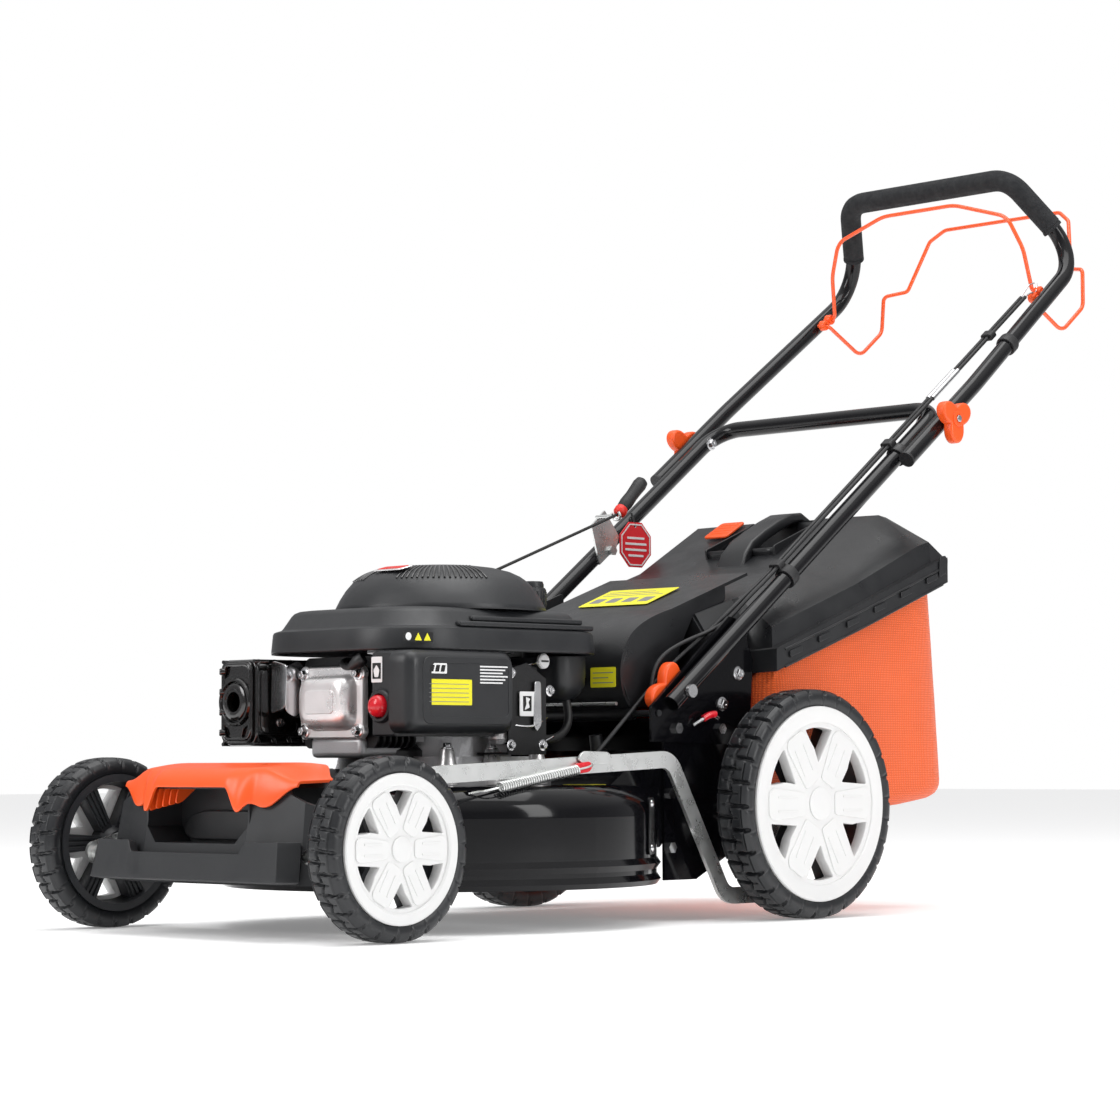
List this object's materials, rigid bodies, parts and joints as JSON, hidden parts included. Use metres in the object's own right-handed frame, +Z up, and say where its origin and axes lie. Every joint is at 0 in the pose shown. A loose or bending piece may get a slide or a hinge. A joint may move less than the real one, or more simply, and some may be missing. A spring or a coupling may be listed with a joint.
{
  "type": "self-propelled walk-behind lawn mower",
  "caption": "Self-propelled petrol lawn mower: steel deck, vertical-shaft engine, spoked wheels, folding tube handle with two bails, and a rear grass catcher with a fabric bag.",
  "frame": {"origin": "on the ground at the middle of the whole length and width, with all four wheels standing on Z = 0", "axes": "+Z up; the mower's nose points along -Y and the handlebar is at +Y; +X is the operator's left, the side of the air filter"},
  "size_m": [0.5548, 1.5408, 1.02],
  "materials": {
    "tyre_rubber": "matte",
    "wheel_white": "satin",
    "deck_black": "gloss",
    "handle_black": "gloss",
    "galvanised": "satin",
    "steel": "satin",
    "alloy": "cast",
    "engine_black": "matte",
    "dome_black": "gloss",
    "muffler_black": "gloss",
    "trim_black": "matte",
    "orange_plastic": "satin",
    "orange_metal": "gloss",
    "orange_mesh": "knitted mesh",
    "red_rubber": "satin",
    "black_rubber": "satin",
    "foam": "foam",
    "tag_red": "satin",
    "rope_fibre": "braided"
  },
  "bodies": {
    "chassis": {"deck": "deck_black", "front_trim": "trim_black", "front_grip": "orange_plastic", "side_plates": "deck_black", "handle_brackets": "deck_black", "bolts": "steel", "wash_port": "engine_black", "crankcase": "alloy", "cylinder_block": "alloy", "valve_cover": "alloy", "muffler": "muffler_black", "muffler_guard": "muffler_black", "blower_shroud": "engine_black", "recoil_cover": "dome_black", "starter_rope": "rope_fibre", "air_filter": "engine_black", "carburettor": "alloy", "control_plate": "galvanised", "fuel_tank": "engine_black", "cables_engine": "black_rubber", "drive_belt": "black_rubber", "lift_spring": "galvanised"},
    "rotor": {"crankshaft": "steel", "flywheel": "alloy", "drive_pulley": "steel", "blade": "steel"},
    "rear_axle": {"rear_axle": "galvanised", "gearbox": "alloy"},
    "front_axle": {"front_axle": "galvanised"},
    "link_bar": {"link_bar": "galvanised"},
    "lower_handle": {"lower_handle": "handle_black", "cables_lower": "black_rubber", "rope_guide": "galvanised"},
    "upper_handle": {"upper_handle": "handle_black", "foam_grip": "foam", "cables_upper": "black_rubber"},
    "grass_catcher": {"bag_cover": "engine_black", "bag_fabric": "orange_mesh"},
    "wheel_front_left": {"tyre_front_left": "tyre_rubber", "wheel_front_left": "wheel_white"},
    "wheel_front_right": {"tyre_front_right": "tyre_rubber", "wheel_front_right": "wheel_white"},
    "wheel_rear_left": {"tyre_rear_left": "tyre_rubber", "wheel_rear_left": "wheel_white"},
    "wheel_rear_right": {"tyre_rear_right": "tyre_rubber", "wheel_rear_right": "wheel_white"},
    "knob_lower_left": {"knob_lower_left": "orange_plastic"},
    "knob_lower_right": {"knob_lower_right": "orange_plastic"},
    "knob_upper_left": {"knob_upper_left": "orange_plastic"},
    "knob_upper_right": {"knob_upper_right": "orange_plastic"},
    "brake_bail": {"brake_bail": "orange_metal"},
    "drive_bail": {"drive_bail": "orange_metal"},
    "starter_grip": {"starter_grip": "engine_black"},
    "primer_bulb": {"primer_bulb": "red_rubber"},
    "choke_lever": {"choke_lever": "galvanised"},
    "fuel_cap": {"fuel_cap": "engine_black"},
    "dipstick": {"dipstick": "engine_black"},
    "hang_tag": {"hang_tag": "tag_red"},
    "rear_flap": {"rear_flap": "engine_black"},
    "bag_indicator": {"bag_indicator": "orange_plastic"}
  },
  "joints": [
    {"name": "rotor_spin", "type": "hinge", "parent": "chassis", "child": "rotor", "pos_m": [0, -0.363, 0.2], "axis": [0, 0, 1], "continuous": true},
    {"name": "height_adjust", "type": "hinge", "parent": "chassis", "child": "rear_axle", "pos_m": [0, -0.027, 0.13], "axis": [1, 0, 0], "range_deg": [-11, 20], "deforming": ["lift_spring", "drive_belt"]},
    {"name": "front_height", "type": "hinge", "parent": "chassis", "child": "front_axle", "pos_m": [0, -0.711, 0.09], "axis": [1, 0, 0], "range_deg": [-11, 20]},
    {"name": "link_bar_swing", "type": "hinge", "parent": "rear_axle", "child": "link_bar", "pos_m": [0, 0.013, 0.14], "axis": [1, 0, 0], "range_deg": [-20, 11]},
    {"name": "wheel_front_left_roll", "type": "hinge", "parent": "front_axle", "child": "wheel_front_left", "pos_m": [0.25, -0.671, 0.1], "axis": [1, 0, 0], "continuous": true},
    {"name": "wheel_front_right_roll", "type": "hinge", "parent": "front_axle", "child": "wheel_front_right", "pos_m": [-0.25, -0.671, 0.1], "axis": [1, 0, 0], "continuous": true},
    {"name": "wheel_rear_left_roll", "type": "hinge", "parent": "rear_axle", "child": "wheel_rear_left", "pos_m": [0.25, 0.013, 0.14], "axis": [1, 0, 0], "continuous": true},
    {"name": "wheel_rear_right_roll", "type": "hinge", "parent": "rear_axle", "child": "wheel_rear_right", "pos_m": [-0.25, 0.013, 0.14], "axis": [1, 0, 0], "continuous": true},
    {"name": "lower_handle_fold", "type": "hinge", "parent": "chassis", "child": "lower_handle", "pos_m": [0, -0.15, 0.2765], "axis": [1, 0, 0], "range_deg": [0, 84], "deforming": ["starter_rope", "cables_engine"]},
    {"name": "upper_handle_fold", "type": "hinge", "parent": "lower_handle", "child": "upper_handle", "pos_m": [0, 0.333, 0.63875], "axis": [1, 0, 0], "range_deg": [0, 80]},
    {"name": "knob_lower_left_turn", "type": "hinge", "parent": "chassis", "child": "knob_lower_left", "pos_m": [0, -0.15, 0.2765], "axis": [1, 0, 0], "range_deg": [0, 360]},
    {"name": "knob_lower_right_turn", "type": "hinge", "parent": "chassis", "child": "knob_lower_right", "pos_m": [0, -0.15, 0.2765], "axis": [1, 0, 0], "range_deg": [0, 360]},
    {"name": "knob_upper_left_turn", "type": "hinge", "parent": "lower_handle", "child": "knob_upper_left", "pos_m": [0, 0.333, 0.63875], "axis": [1, 0, 0], "range_deg": [0, 360]},
    {"name": "knob_upper_right_turn", "type": "hinge", "parent": "lower_handle", "child": "knob_upper_right", "pos_m": [0, 0.333, 0.63875], "axis": [1, 0, 0], "range_deg": [0, 360]},
    {"name": "brake_bail_squeeze", "type": "hinge", "parent": "upper_handle", "child": "brake_bail", "pos_m": [0, 0.597, 0.84075], "axis": [1, 0, 0], "range_deg": [-30, 0]},
    {"name": "drive_bail_squeeze", "type": "hinge", "parent": "upper_handle", "child": "drive_bail", "pos_m": [0, 0.584, 0.831], "axis": [1, 0, 0], "range_deg": [0, 22]},
    {"name": "starter_pull", "type": "slide", "parent": "lower_handle", "child": "starter_grip", "axis": [-0.1244, 0.9406, 0.316], "range_m": [0, 0.16], "stiffness_N_per_m": 40, "springref_m": -0.06},
    {"name": "primer_press", "type": "slide", "parent": "chassis", "child": "primer_bulb", "axis": [0, 1, 0], "range_m": [0, 0.005], "stiffness_N_per_m": 400, "springref_m": -0.0005},
    {"name": "choke_swing", "type": "hinge", "parent": "chassis", "child": "choke_lever", "pos_m": [0.138, -0.341, 0.262], "axis": [1, 0, 0], "range_deg": [-20, 30]},
    {"name": "fuel_cap_lift", "type": "slide", "parent": "chassis", "child": "fuel_cap", "axis": [0, 0, 1], "range_m": [0, 0.04]},
    {"name": "dipstick_lift", "type": "slide", "parent": "chassis", "child": "dipstick", "axis": [0, 0, 1], "range_m": [0, 0.07]},
    {"name": "hang_tag_swing", "type": "hinge", "parent": "lower_handle", "child": "hang_tag", "pos_m": [-0.1826, 0.171, 0.522], "axis": [1, 0, 0], "range_deg": [-10, 30]},
    {"name": "rear_flap_lift", "type": "hinge", "parent": "chassis", "child": "rear_flap", "pos_m": [0, -0.181, 0.25], "axis": [1, 0, 0], "range_deg": [0, 15]},
    {"name": "grass_catcher_slide", "type": "slide", "parent": "chassis", "child": "grass_catcher", "axis": [0, 1, 0], "range_m": [0, 0.35]},
    {"name": "bag_indicator_lift", "type": "hinge", "parent": "grass_catcher", "child": "bag_indicator", "pos_m": [-0.092, 0.2335, 0.4942], "axis": [1, 0, 0], "range_deg": [0, 35]}
  ],
  "couplings": [
    {"joint": "front_height", "follows": "height_adjust", "ratio": 1},
    {"joint": "link_bar_swing", "follows": "height_adjust", "ratio": -1}
  ]
}
